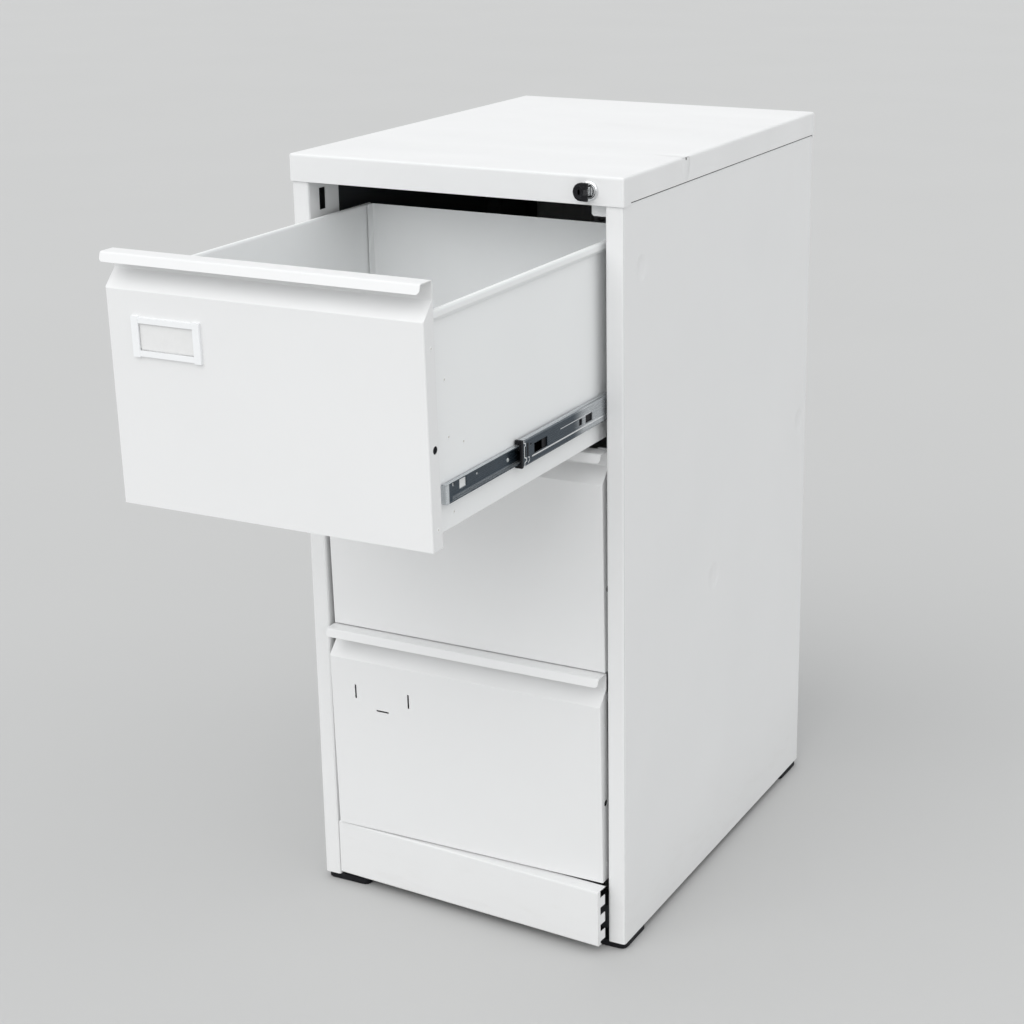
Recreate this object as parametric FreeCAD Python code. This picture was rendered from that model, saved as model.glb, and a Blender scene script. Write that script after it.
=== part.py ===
import FreeCAD, Part
import math
import os

from FreeCAD import Vector

# Three-drawer filing cabinet of folded sheet steel, in millimetres.
# X runs to the right, Y to the back and Z up. While the pieces are made, Y is 0 at the front of
# the top cover and Z is 0 on the floor; keep() moves each piece to the frame's own origin.

# How finely small rounds are drawn: flats in a sheet's bend, and in a screw hole
BEND_FLATS = 2
HOLE_FLATS = 10

# Overall size
WIDTH = 467.0
DEPTH = 630.0
HEIGHT = 1017.0
FOOT_H = 10.0
SHEET = 1.0
THIN = 0.8

# Where the moving pieces stand: how far each drawer is out, and the kick plate's swing
OUT = {"top": 407.0, "middle": 0.0, "bottom": 9.2}
TRAVEL = 500.0
SLIDE_SHARE = 0.58
PLINTH_SWING = 3.6

# Casing
COVER_H = 35.0
COVER_BEND = 3.0
BODY_HALF = WIDTH / 2 - 1.3
SHOULDER_Z = 983.6
SHOULDER_IN = 1.5
BODY_FRONT = 2.0
BODY_BACK = DEPTH - 2.0
OPENING_HALF = 208.0
POST_RETURN = 72.0
BODY_BEND = 2.5

# Drawer fronts: heights hang from the top of the pull lip
FRONT_HALF = 202.4
LIP_TOP = 969.5
PITCH = 292.0
FRONT_H = 290.5
LIP_FRONT = -2.5
LIP_FLARE = 3.5
LIP_H = 11.0
RECESS_Y = 20.0
RECESS_H = 21.5
FACE_DROP = 41.0
FACE_TOP_Y = 1.5
FACE_RAKE = 6.0
FRONT_FLANGE = 20.0

# Drawer boxes
BOX_HALF = 195.3
BOX_DROP = 32.6
BOX_FLOOR_DROP = 279.0
BOX_BACK = 534.0
ROLL_W = 5.7
ROLL_H = 13.0
BACK_GAP = 1.5

# Ball slides: depth is measured from the post's inner face towards the drawer
SLIDE_DROP = 235.0
SLIDE_T = 1.2
BALL_R = 1.7
BALL_GAP = 0.3
OUTER_FRONT = 30.0
OUTER_BACK = 530.0
MEMBER_FRONT = 32.0
MEMBER_BACK = 505.0
INNER_FRONT = 37.5
INNER_BACK = 520.0
INNER_H = 22.0
OUTER_CAGE = (177.0, 357.0)
INNER_CAGE = (165.0, 405.0)

# Lock
LOCK_X = 188.7
LOCK_Z = 999.0
LOCK_DROP = 10.0
CAM_R = LOCK_DROP / (2 * math.sin(math.radians(45)))
BAR_X = 210.5
BAR_T = 1.5
BAR_FRONT = 24.0
BAR_BACK = 46.0
FINGER_X = 187.0
HEAD_X = 180.5
FINGER_DROP = 4.5
KEY_PIN_Y = -12.0

# Kick plate and feet
PLINTH_HALF = 206.5
PLINTH_BOTTOM = 14.0
PLINTH_TOP = 93.0
PLINTH_DEPTH = 20.0
FOOT_SIZE = 66.0

LIP = {"top": LIP_TOP, "middle": LIP_TOP - PITCH, "bottom": LIP_TOP - 2 * PITCH}

# The frame's origin: middle of the whole envelope, with the top drawer out, on the floor
FRONT_REACH = OUT["top"] - LIP_FRONT + LIP_FLARE + SHEET / 2
Y_SHIFT = (FRONT_REACH - DEPTH) / 2

pieces = {}


def keep(name, *solids):
    """Put solids into a named piece, moved to the frame's origin."""
    group = solids[0] if len(solids) == 1 else Part.makeCompound(list(solids))
    group.translate(Vector(0, Y_SHIFT, 0))
    pieces[name] = group


# Plane maps for sections: a flat (a, b) point to a point in space

def on_xy(z):
    return lambda a, b: Vector(a, b, z)


def on_yz(x):
    return lambda a, b: Vector(x, a, b)


def on_xz(y):
    return lambda a, b: Vector(a, y, b)


# Flat geometry

def unit(a, b):
    length = math.hypot(b[0] - a[0], b[1] - a[1])
    return ((b[0] - a[0]) / length, (b[1] - a[1]) / length)


def meet(p, u, q, v):
    """Where the line through p along u meets the line through q along v."""
    cross = u[0] * v[1] - u[1] * v[0]
    s = ((q[0] - p[0]) * v[1] - (q[1] - p[1]) * v[0]) / cross
    return (p[0] + s * u[0], p[1] + s * u[1])


def offset(points, distance):
    """An open polyline moved to its left by distance, corners kept sharp."""
    ways = [unit(a, b) for a, b in zip(points, points[1:])]
    moved = [(a[0] - w[1] * distance, a[1] + w[0] * distance) for a, w in zip(points, ways)]
    last = (points[-1][0] - ways[-1][1] * distance, points[-1][1] + ways[-1][0] * distance)
    inner = [meet(moved[i], ways[i], moved[i + 1], ways[i + 1]) for i in range(len(ways) - 1)]
    return [moved[0]] + inner + [last]


def rounded(points, radii, flats=BEND_FLATS):
    """An open polyline whose corners are rounded, each by its own radius, in short flats."""
    path = [points[0]]
    for before, corner, after, radius in zip(points, points[1:], points[2:], radii):
        u = unit(before, corner)
        v = unit(corner, after)
        turn = math.acos(max(-1.0, min(1.0, u[0] * v[0] + u[1] * v[1])))
        if radius < 0.05 or turn < 0.001:
            path.append(corner)
            continue
        back = radius * math.tan(turn / 2)
        side = math.copysign(1.0, u[0] * v[1] - u[1] * v[0])
        start = (corner[0] - u[0] * back, corner[1] - u[1] * back)
        centre = (start[0] - side * u[1] * radius, start[1] + side * u[0] * radius)
        for step in range(flats + 1):
            angle = side * turn * step / flats
            dx = start[0] - centre[0]
            dy = start[1] - centre[1]
            x = centre[0] + dx * math.cos(angle) - dy * math.sin(angle)
            y = centre[1] + dx * math.sin(angle) + dy * math.cos(angle)
            path.append((x, y))
    path.append(points[-1])
    return path


def folded(points, bend, thickness, plane, run):
    """A folded sheet: centre line points, one bend radius or one per corner, drawn along run."""
    corners = len(points) - 2
    bends = [bend] * corners if isinstance(bend, (int, float)) else list(bend)
    turns = []
    for before, corner, after in zip(points, points[1:], points[2:]):
        u = unit(before, corner)
        v = unit(corner, after)
        turns.append(math.copysign(1.0, u[0] * v[1] - u[1] * v[0]))
    half = thickness / 2
    left = offset(points, half)
    right = offset(points, -half)
    left_radii = [r - side * half for r, side in zip(bends, turns)]
    right_radii = [r + side * half for r, side in zip(bends, turns)]
    return prism(rounded(left, left_radii) + rounded(right, right_radii)[::-1], plane, run)


def prism(points, plane, run):
    """A solid with a straight-sided section."""
    corners = [plane(*p) for p in points]
    wire = Part.makePolygon(corners + corners[:1])
    return Part.Face(wire).extrude(run)


def block(x0, x1, y0, y1, z0, z1):
    return Part.makeBox(x1 - x0, y1 - y0, z1 - z0, Vector(x0, y0, z0))


def rod(radius, start, way, length):
    return Part.makeCylinder(radius, length, start, way)


def ring(radius, sides, centre=(0.0, 0.0)):
    """Corners of a regular polygon on a circle."""
    turns = [2 * math.pi * (step + 0.5) / sides for step in range(sides)]
    return [(centre[0] + radius * math.cos(t), centre[1] + radius * math.sin(t)) for t in turns]


def hole_x(x, y, z, radius, length=5.0):
    """A small hole along X, drawn with flats."""
    return prism(ring(radius, HOLE_FLATS, (y, z)), on_yz(x), ALONG_X * length)


def mirrored(shape):
    return shape.mirror(Vector(0, 0, 0), Vector(1, 0, 0))


ALONG_X = Vector(1, 0, 0)
ALONG_Y = Vector(0, 1, 0)
ALONG_Z = Vector(0, 0, 1)


# Casing

def return_windows():
    """Openings in a post's inner return: one near the top of each drawer and three low ones for
    the kick plate's tabs."""
    cuts = []
    for lip in LIP.values():
        cuts.append(block(OPENING_HALF - 1, OPENING_HALF + 2, 26, 40, lip - 27, lip + 1))
    for z in (18.0, 42.0, 67.0):
        cuts.append(block(OPENING_HALF - 1, OPENING_HALF + 2, 8, 19, z, z + 15))
    return cuts


def side_wrap(x, low, high):
    """The right side's plan, folded round the front post and back along its inner return."""
    half = SHEET / 2
    line = [
        (x - 16.5, BODY_BACK - half),
        (x, BODY_BACK - half),
        (x, BODY_FRONT + half),
        (OPENING_HALF + half, BODY_FRONT + half),
        (OPENING_HALF + half, POST_RETURN - half),
        (OPENING_HALF + 13, POST_RETURN - half),
    ]
    return folded(line, (1.5, BODY_BEND, BODY_BEND, 1.5), SHEET, on_xy(low), ALONG_Z * (high - low))


def side_panel():
    """The right side, set in above a shoulder so that the lid's flange lies nearly flush with it."""
    half = SHEET / 2
    x = BODY_HALF - half
    wall = side_wrap(x, FOOT_H, SHOULDER_Z)
    neck = side_wrap(x - SHOULDER_IN, SHOULDER_Z - SHEET, HEIGHT - SHEET - 0.5)
    shoulder = block(x - SHOULDER_IN - half, BODY_HALF, BODY_FRONT + BODY_BEND + 1, BODY_BACK - BODY_BEND,
                     SHOULDER_Z - SHEET, SHOULDER_Z)
    hem = block(BODY_HALF - 16, BODY_HALF - half, POST_RETURN + 4, BODY_BACK - 4, FOOT_H, FOOT_H + SHEET)
    return wall.fuse([neck, shoulder, hem]).removeSplitter()


def finger_way(lip, high):
    """The slit in the right return that a lock finger slides down."""
    low = lip - FINGER_DROP - LOCK_DROP - 2
    return block(OPENING_HALF - 1, OPENING_HALF + 2, BAR_FRONT - BAR_T - 1, BAR_FRONT + 1, low, high)


def casing():
    right = side_panel()
    left = mirrored(right)
    windows = return_windows()
    ways = [finger_way(LIP_TOP, HEIGHT)]
    ways += [finger_way(LIP[name], LIP[name] + 3) for name in ("middle", "bottom")]
    keep("side_panel_right", right.cut(windows + ways))
    keep("side_panel_left", left.cut([mirrored(w) for w in windows]))
    keep("back_panel", back_panel())
    keep("top_cover", top_cover())
    upright = rear_upright()
    keep("rear_upright_right", upright)
    keep("rear_upright_left", mirrored(rear_upright()))


def back_panel():
    """A flat sheet behind the sides, with three pressed vertical beads."""
    bottom = FOOT_H + 3
    top = HEIGHT - SHEET - 2
    panel = block(-BODY_HALF + 2, BODY_HALF - 2, BODY_BACK, BODY_BACK + SHEET, bottom, top)
    bead_w = 14.0
    bead_d = 3.0
    for x in (-115.0, 0.0, 115.0):
        y = BODY_BACK + SHEET / 2
        line = [(x - bead_w, y), (x - bead_w / 2, y), (x, y - bead_d), (x + bead_w / 2, y), (x + bead_w, y)]
        slot = block(x - bead_w / 2, x + bead_w / 2, BODY_BACK - 5, DEPTH, 90, 930)
        bead = folded(line, (2.0, 4.0, 2.0), SHEET, on_xy(90), ALONG_Z * 840)
        panel = panel.cut(slot).fuse(bead)
    return panel.removeSplitter()


def lid_ring(inset, corner, z):
    """The lid's outline at one height, drawn in from its full size."""
    x = WIDTH / 2 - inset
    y0, y1 = inset, DEPTH - inset
    line = [(0, y0), (x, y0), (x, y1), (-x, y1), (-x, y0), (0, y0)]
    return Part.makePolygon([Vector(a, b, z) for a, b in rounded(line, (corner,) * 4)])


def lid_block(inset, bend, low, high):
    """A slab with a rolled top edge, drawn in flats."""
    loops = [lid_ring(inset, 1.6, low), lid_ring(inset, 1.6, high - bend)]
    for angle in (30, 60, 90):
        turn = math.radians(angle)
        back = bend * (1 - math.cos(turn))
        loops.append(lid_ring(inset + back, 1.6 - 0.4 * back, high - bend * (1 - math.sin(turn))))
    return Part.makeLoft(loops, True, True)


def top_cover():
    """The lid: a shallow folded tray upside down, with a stiffening return along its front."""
    half = WIDTH / 2
    floor = HEIGHT - COVER_H
    outer = lid_block(0, COVER_BEND, floor, HEIGHT)
    inner = lid_block(SHEET, COVER_BEND - SHEET, floor - 1, HEIGHT - SHEET)
    lip = block(-OPENING_HALF + 3, OPENING_HALF - 3, SHEET / 2, 13, floor, floor + SHEET)
    hole = prism(ring(9.3, 24, (LOCK_X, LOCK_Z)), on_xz(-5), ALONG_Y * 12)
    raised = SHOULDER_Z + 1.6
    clear = [block(x - 2, x + 2, 20, DEPTH - 6, floor - 1, raised) for x in (-half, half)]
    return outer.cut(inner).fuse(lip).removeSplitter().cut(clear + [hole])


def rear_upright():
    """The channel inside the right side that carries the slides' back ends."""
    half = SHEET / 2
    front = 500.0
    back = 560.0
    line = [
        (BODY_HALF - SHEET, front + half),
        (OPENING_HALF + half, front + half),
        (OPENING_HALF + half, back - half),
        (BODY_HALF - SHEET, back - half),
    ]
    bottom = FOOT_H + SHEET
    return folded(line, 1.5, SHEET, on_xy(bottom), ALONG_Z * (SHOULDER_Z - SHEET - 0.6 - bottom))


def base():
    """Cross rails low at the front and back, and the four feet under their ends."""
    half = SHEET / 2
    deep = 36.0
    tall = 34.0
    ends = (("front", 30.0, OPENING_HALF, FOOT_H), ("rear", 575.0, BODY_HALF - SHEET, FOOT_H + SHEET))
    for name, y, reach, low in ends:
        line = [
            (y + half, low + tall),
            (y + half, low + half),
            (y + deep - half, low + half),
            (y + deep - half, low + tall),
        ]
        keep("base_rail_" + name, folded(line, 1.5, SHEET, on_yz(-reach), ALONG_X * (2 * reach)))
    reach = BODY_HALF - FOOT_SIZE - 1
    for name, y in (("front", 5.0), ("rear", DEPTH - FOOT_SIZE - 4)):
        keep("feet_" + name, foot(reach, y), foot(-reach - FOOT_SIZE, y))


def foot(x, y):
    """A moulded pad with rounded corners, bevelled round its sole, its screw sunk from below."""
    middle = (x + FOOT_SIZE / 2, y + FOOT_SIZE / 2)
    reach = FOOT_SIZE / 2
    corners = [(0, -reach), (reach, -reach), (reach, reach), (-reach, reach), (-reach, -reach), (0, -reach)]
    outline = rounded([(middle[0] + a, middle[1] + b) for a, b in corners], (9.0,) * 4, 4)[:-1]
    pad = prism(outline, on_xy(0), ALONG_Z * FOOT_H)
    soles = [e for e in pad.Edges if e.BoundBox.ZMax < 0.01]
    pad = pad.makeChamfer(1.6, soles)
    sink = prism(ring(8.0, 16, middle), on_xy(-1), ALONG_Z * 7)
    return pad.cut([sink, prism(ring(3.2, HOLE_FLATS, middle), on_xy(-1), ALONG_Z * (FOOT_H + 2))])


# Drawer fronts

def face_line(lip):
    """Foot, top and recess corners of the front's outer surface, in (y, z)."""
    foot_corner = (FACE_TOP_Y + FACE_RAKE, lip - FRONT_H)
    top_corner = (FACE_TOP_Y, lip - FACE_DROP)
    recess = (RECESS_Y, lip - RECESS_H)
    return foot_corner, top_corner, recess


def behind_face(lip, gap):
    """The same three corners moved back into the drawer by gap."""
    moved = offset(list(face_line(lip)), -gap)
    return moved[0], moved[1], moved[2]


def drawer_front(lip):
    """The folded front: raked face, slanted shelf, recess and flared pull lip, with side and
    bottom flanges behind the face."""
    foot_corner, top_corner, recess = face_line(lip)
    outline = [
        foot_corner,
        top_corner,
        recess,
        (recess[0] + 0.6, recess[1]),
        (top_corner[0] + FRONT_FLANGE, top_corner[1]),
        (foot_corner[0] + FRONT_FLANGE, foot_corner[1]),
    ]
    outer = prism(outline, on_yz(-FRONT_HALF), ALONG_X * (2 * FRONT_HALF))
    mid_y = (foot_corner[0] + top_corner[0]) / 2
    mid_z = (foot_corner[1] + top_corner[1]) / 2
    ends = [e for e in outer.Edges if abs(e.Length - math.hypot(FACE_RAKE, FRONT_H - FACE_DROP)) < 0.5
            and abs(e.CenterOfMass.y - mid_y) < 1 and abs(e.CenterOfMass.z - mid_z) < 1]
    brow = [e for e in outer.Edges if e.BoundBox.XLength > FRONT_HALF
            and abs(e.CenterOfMass.z - top_corner[1]) < 0.5 and abs(e.CenterOfMass.y - top_corner[0]) < 0.5]
    outer = outer.makeFillet(1.6, ends + brow)
    a, b, c = behind_face(lip, SHEET)
    slope = unit(b, c)
    up = unit(a, b)
    inside = [
        (a[0] + up[0] * SHEET, a[1] + up[1] * SHEET),
        b,
        (c[0] + slope[0] * 8, c[1] + slope[1] * 8),
        (c[0] + 60, c[1] + slope[1] * 8),
        (a[0] + 60, a[1] + up[1] * SHEET),
    ]
    hollow = prism(inside, on_yz(-FRONT_HALF + SHEET), ALONG_X * (2 * (FRONT_HALF - SHEET)))
    shell = outer.cut(hollow)
    half = SHEET / 2
    slant = unit(top_corner, recess)
    pull = [
        (recess[0] - slant[0] * 5, recess[1] - slant[1] * 5),
        recess,
        (RECESS_Y, lip),
        (LIP_FRONT, lip),
        (LIP_FRONT - LIP_FLARE, lip - LIP_H),
    ]
    centre = offset(pull, -half)[:3]
    centre[2] = (centre[2][0], lip - half)
    centre += [(LIP_FRONT + half, lip - half), (LIP_FRONT - LIP_FLARE + half, lip - LIP_H)]
    strip = folded(centre, (1.5, 1.2, 2.0), SHEET, on_yz(-FRONT_HALF), ALONG_X * (2 * FRONT_HALF))
    front = shell.fuse(strip).removeSplitter()
    return front.cut(lip_corners(lip) + front_holes(lip))


def lip_corners(lip):
    """What rounds the lower corners of the pull lip."""
    radius = 5.0
    cuts = []
    for side in (-1, 1):
        corner = side * FRONT_HALF
        centre = Vector(corner - side * radius, -20, lip - LIP_H + radius)
        square = block(min(corner, centre.x), max(corner, centre.x), -20, 4, lip - LIP_H - 1, centre.z)
        cuts.append(square.cut(rod(radius, centre, ALONG_Y, 30)))
    return cuts


def front_holes(lip):
    """Clip slots for a label holder, and the round hole through both side flanges."""
    centre_x, centre_z = label_centre(lip)
    cuts = []
    for side in (-1, 1):
        x = centre_x + side * 41.0
        cuts.append(block(x - 1.3, x + 1.3, -5, 14, centre_z - 5, centre_z + 15))
    cuts.append(block(centre_x - 9.5, centre_x + 9.5, -5, 14, centre_z - 18.7, centre_z - 16.3))
    way = prism(ring(4.6, 16, (17.5, lip - 180)), on_yz(-FRONT_HALF - 5), ALONG_X * (2 * FRONT_HALF + 10))
    cuts.append(way)
    return cuts


def label_centre(lip):
    return -123.0, lip - 92.0


def label_holder(lip):
    """A moulded frame clipped into the face: its uprights run a little past its rails."""
    centre_x, centre_z = label_centre(lip)
    half_w = 45.5
    half_h = 23.0
    bar = 9.0
    rail = 7.5
    depth = 3.4
    rails = block(-half_w + 1, half_w - 1, -depth + 0.4, 0, -half_h + 1, half_h - 1)
    frame = rails.fuse([
        block(-half_w, -half_w + bar, -depth, 0, -half_h, half_h),
        block(half_w - bar, half_w, -depth, 0, -half_h, half_h),
    ])
    frame = frame.cut(block(-half_w + bar, half_w - bar, -depth - 1, 1, -half_h + rail, half_h - rail))
    pocket = block(-half_w + 4, half_w - 4, -1.2, 1, -half_h + rail - 3, half_h - rail + 3)
    clips = [
        block(-41.6, -40.4, -1.2, 3.2, -4, 14),
        block(40.4, 41.6, -1.2, 3.2, -4, 14),
        block(-8.5, 8.5, -1.2, 3.2, -18.1, -16.9),
    ]
    frame = frame.cut(pocket).fuse(clips).removeSplitter()
    rake = math.degrees(math.atan(FACE_RAKE / (FRONT_H - FACE_DROP)))
    frame.rotate(Vector(0, 0, 0), ALONG_X, rake)
    share = (lip - FACE_DROP - centre_z) / (FRONT_H - FACE_DROP)
    frame.translate(Vector(centre_x, FACE_TOP_Y + FACE_RAKE * share, centre_z))
    return frame


# Drawer boxes

def before_face(lip):
    """Everything in front of the front's inner surface, to trim box pieces against it."""
    a, b, c = behind_face(lip, SHEET)
    outline = [(a[0] - 60, a[1] - 5), (a[0], a[1] - 5), a, b, c, (c[0], c[1] + 20), (a[0] - 60, c[1] + 20)]
    return prism(outline, on_yz(-BOX_HALF - 20), ALONG_X * (2 * BOX_HALF + 40))


def box_side(lip):
    """The right wall: floor flange, wall, and the top edge rolled outwards and down."""
    half = THIN / 2
    low = lip - BOX_FLOOR_DROP
    top = lip - BOX_DROP
    wall = BOX_HALF - half
    outer = wall + ROLL_W
    line = [
        (wall - 14, low + half),
        (wall, low + half),
        (wall, top - half),
        (outer, top - half),
        (outer, top - ROLL_H + 4.6),
        (wall + 1.9, top - ROLL_H),
    ]
    sheet = folded(line, (1.2, 2.4, 2.4, 2.0), THIN, on_xz(0), ALONG_Y * BOX_BACK)
    a, b, _ = behind_face(lip, SHEET)
    c, d, _ = behind_face(lip, SHEET + THIN)
    up = unit(a, b)
    foot_gap = 14.0
    head_gap = 6.0
    flange = [
        (a[0] + up[0] * foot_gap, a[1] + up[1] * foot_gap),
        (b[0] - up[0] * head_gap, b[1] - up[1] * head_gap),
        (d[0] - up[0] * head_gap, d[1] - up[1] * head_gap),
        (c[0] + up[0] * foot_gap, c[1] + up[1] * foot_gap),
    ]
    tab = prism(flange, on_yz(BOX_HALF - 14), ALONG_X * 13.6)
    return sheet.fuse(tab).cut(before_face(lip)).removeSplitter()


def box_back(lip):
    half = THIN / 2
    reach = BOX_HALF - THIN - half - BACK_GAP
    y = BOX_BACK - half
    line = [(-reach, y - 13), (-reach, y), (reach, y), (reach, y - 13)]
    low = lip - BOX_FLOOR_DROP + 3
    return folded(line, 1.2, THIN, on_xy(low), ALONG_Z * (lip - BOX_DROP - 1 - low))


def box_tray(lip):
    """The floor, with upstands at both ends and two pressed ribs along it."""
    half = THIN / 2
    floor = lip - BOX_FLOOR_DROP + THIN + half
    reach = BOX_HALF - THIN - BACK_GAP - 1.6
    front_y = FACE_TOP_Y + FACE_RAKE + SHEET + 2
    back_y = BOX_BACK - THIN - half
    line = [(front_y, floor + 42), (front_y, floor), (back_y, floor), (back_y, floor + 14)]
    tray = folded(line, 1.6, THIN, on_yz(-reach), ALONG_X * (2 * reach))
    rise = 2.6
    for x in (-95.0, 95.0):
        line = [(x - 9, floor), (x - 4.5, floor), (x - 2, floor + rise), (x + 2, floor + rise),
                (x + 4.5, floor), (x + 9, floor)]
        rib = folded(line, 1.2, THIN, on_xz(60), ALONG_Y * 420)
        tray = tray.cut(block(x - 4.5, x + 4.5, 60, 480, floor - 1, floor + 1)).fuse(rib)
    return tray.removeSplitter()


# Ball slides

def slide_x(depth):
    return OPENING_HALF - depth


def ball_level(inside):
    """Height of a ball row over the slide's centre: inside the member, or outside it."""
    inner = INNER_H / 2 + BALL_GAP + BALL_R
    return inner if inside else inner + 2 * (BALL_R + BALL_GAP) + SLIDE_T


def channel(web, lip_depth, level, half_height, bend_lip, y0, y1, z):
    """A slide member: web, two flanges, and quarter-round lips that form the ball tracks."""
    line = [
        (slide_x(lip_depth), z + level),
        (slide_x(lip_depth), z + half_height),
        (slide_x(web), z + half_height),
        (slide_x(web), z - half_height),
        (slide_x(lip_depth), z - half_height),
        (slide_x(lip_depth), z - level),
    ]
    bends = (bend_lip, 1.8, 1.8, bend_lip)
    return folded(line, bends, SLIDE_T, on_xz(y0), ALONG_Y * (y1 - y0))


def slide_outer(z):
    level = ball_level(False)
    height = level + BALL_R + BALL_GAP + SLIDE_T / 2
    rail = channel(SLIDE_T / 2, 8.3, level - 0.1, height, height - level, OUTER_FRONT, OUTER_BACK, z)
    return rail.cut([hole_x(OPENING_HALF - 3, y, z, 2.4) for y in (52.0, 518.0)])


def slide_member(z):
    level = ball_level(True)
    height = level + BALL_R + BALL_GAP + SLIDE_T / 2
    rail = channel(3.0, 10.5, level - 0.1, height, height - level, MEMBER_FRONT, MEMBER_BACK, z)
    x = slide_x(5)
    cuts = [
        block(x, x + 4, 58, 90, z - 6, z + 6),
        hole_x(x, 50, z + 7, 1.6, 4),
        block(x, x + 4, 171, 179, z - 4, z + 4),
        block(x, x + 4, 188, 206, z - 5, z + 5),
    ]
    return rail.cut(cuts)


def slide_inner(z):
    """The drawer's member: its web lies on the box wall, and a stop plate closes its front."""
    half = INNER_H / 2 - SLIDE_T / 2
    web = 12.7 - SLIDE_T / 2
    line = [
        (slide_x(5.2), z + half),
        (slide_x(web), z + half),
        (slide_x(web), z - half),
        (slide_x(5.2), z - half),
    ]
    rail = folded(line, 1.8, SLIDE_T, on_xz(INNER_FRONT), ALONG_Y * (INNER_BACK - INNER_FRONT))
    stop = block(slide_x(6.9), slide_x(5.7), INNER_FRONT, INNER_FRONT + 13, z - half, z + half)
    x = slide_x(14)
    cuts = [
        hole_x(x, 62, z + 4.5, 2.4),
        block(x, x + 5, 75, 90, z - 4.5, z + 7.5),
        slot_cut(x, 114, z + 2, 1.3, 2.4),
        hole_x(x, 182, z - 2, 2.0),
    ]
    return rail.fuse(stop).removeSplitter().cut(cuts)


def slot_cut(x, y, z, radius, length):
    """A short slot along Y, cut in the X direction."""
    outline = ring(radius, HOLE_FLATS)
    stretched = [(y + a + math.copysign(length / 2, a), z + b) for a, b in outline]
    return prism(stretched, on_yz(x), ALONG_X * 5)


def ball(x, y, z):
    """A steel ball, cut with flats inside its true size."""
    rim = 0.62 * BALL_R
    drop = 0.78 * BALL_R
    rings = [(rim, -drop), (BALL_R, 0.0), (rim, drop)]
    loops = [Part.makePolygon([Vector(x + a, y + b, z + h) for a, b in ring(r, 6) + ring(r, 6)[:1]])
             for r, h in rings]
    return Part.makeLoft(loops, True, True)


def ball_cage(inside, z):
    """A pressed strip between two members that carries two rows of balls."""
    level = ball_level(inside)
    web = 4.35 if inside else 1.8
    centre = 7.6 if inside else 5.4
    front, back = INNER_CAGE if inside else OUTER_CAGE
    reach = centre + 1.5
    line = [(slide_x(reach), z + level), (slide_x(web), z + level),
            (slide_x(web), z - level), (slide_x(reach), z - level)]
    strip = folded(line, 1.2, 0.5, on_xz(front), ALONG_Y * (back - front))
    places = (front + 10, back - 10)
    balls = [ball(slide_x(centre), y, z + side * level) for y in places for side in (-1, 1)]
    return strip.fuse(balls)


def slide_bumper(z):
    """Black end stop on the member's front: a U-shaped cushion with a latch tongue."""
    level = ball_level(True) + BALL_R + BALL_GAP + SLIDE_T
    clear = INNER_H / 2 + 0.6
    back = MEMBER_FRONT
    front = back - 4
    outline = [
        (slide_x(11.1), z + level), (slide_x(2.4), z + level),
        (slide_x(2.4), z - level), (slide_x(11.1), z - level),
        (slide_x(11.1), z - clear), (slide_x(4.4), z - clear),
        (slide_x(4.4), z + clear), (slide_x(11.1), z + clear),
    ]
    cushion = prism(outline, on_xz(front), ALONG_Y * 4)
    tongue = block(slide_x(4.4), slide_x(3.6), front + 2, back + 16, z - 5, z + 5)
    return cushion.fuse(tongue).removeSplitter()


# Drawers

def lock_catch(lip):
    """A cranked strip behind the recess: the lock finger drops between the front and its tongue."""
    low = lip - 15.5
    back = RECESS_Y + SHEET
    line = [(160, back + 0.6), (176, back + 0.6), (176, back + 6.3), (197, back + 6.3)]
    return folded(line, 1.4, 1.2, on_xy(low), ALONG_Z * 9.5)


def move_out(distance, *shapes):
    for shape in shapes:
        shape.translate(Vector(0, -distance, 0))
    return shapes


def drawer(name):
    lip = LIP[name]
    out = OUT[name]
    z = lip - SLIDE_DROP
    keep("drawer_front_" + name, *move_out(out, drawer_front(lip)))
    side = box_side(lip)
    keep("drawer_side_right_" + name, *move_out(out, side))
    keep("drawer_side_left_" + name, *move_out(out, mirrored(box_side(lip))))
    keep("drawer_back_" + name, *move_out(out, box_back(lip)))
    keep("drawer_tray_" + name, *move_out(out, box_tray(lip)))
    keep("lock_catch_" + name, *move_out(out, lock_catch(lip)))
    keep("slide_inner_" + name, *move_out(out, slide_inner(z), mirrored(slide_inner(z))))
    keep("slide_outer_" + name, slide_outer(z), mirrored(slide_outer(z)))
    share = out * SLIDE_SHARE
    keep("slide_member_" + name, *move_out(share, slide_member(z), mirrored(slide_member(z))))
    keep("slide_bumper_" + name, *move_out(share, slide_bumper(z), mirrored(slide_bumper(z))))
    for place, inside, part in (("outer", False, SLIDE_SHARE / 2), ("inner", True, (1 + SLIDE_SHARE) / 2)):
        cages = (ball_cage(inside, z), mirrored(ball_cage(inside, z)))
        keep("slide_balls_" + place + "_" + name, *move_out(out * part, *cages))


# Lock

def lock():
    housing = lock_housing()
    keep("lock_housing", housing)
    keep("lock_nut", lock_nut())
    keep("lock_plug", lock_plug())
    keep("lock_cam", lock_cam())
    guides = [bar_guide(z) for z in (400.0, 610.0, 900.0)]
    keep("lock_bar_guides", *guides)
    low = LIP["bottom"] - 60
    keep("lock_bar", block(BAR_X, BAR_X + BAR_T, BAR_FRONT, BAR_BACK, low, LOCK_Z - 9))
    fingers = []
    for name in ("middle", "bottom"):
        low = LIP[name] - FINGER_DROP
        fingers.append(block(FINGER_X, BAR_X + BAR_T, BAR_FRONT - BAR_T, BAR_FRONT, low, low + 5))
    keep("lock_bar_hooks", bar_head(), *fingers)


def lock_axis(y):
    return Vector(LOCK_X, y, LOCK_Z)


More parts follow.
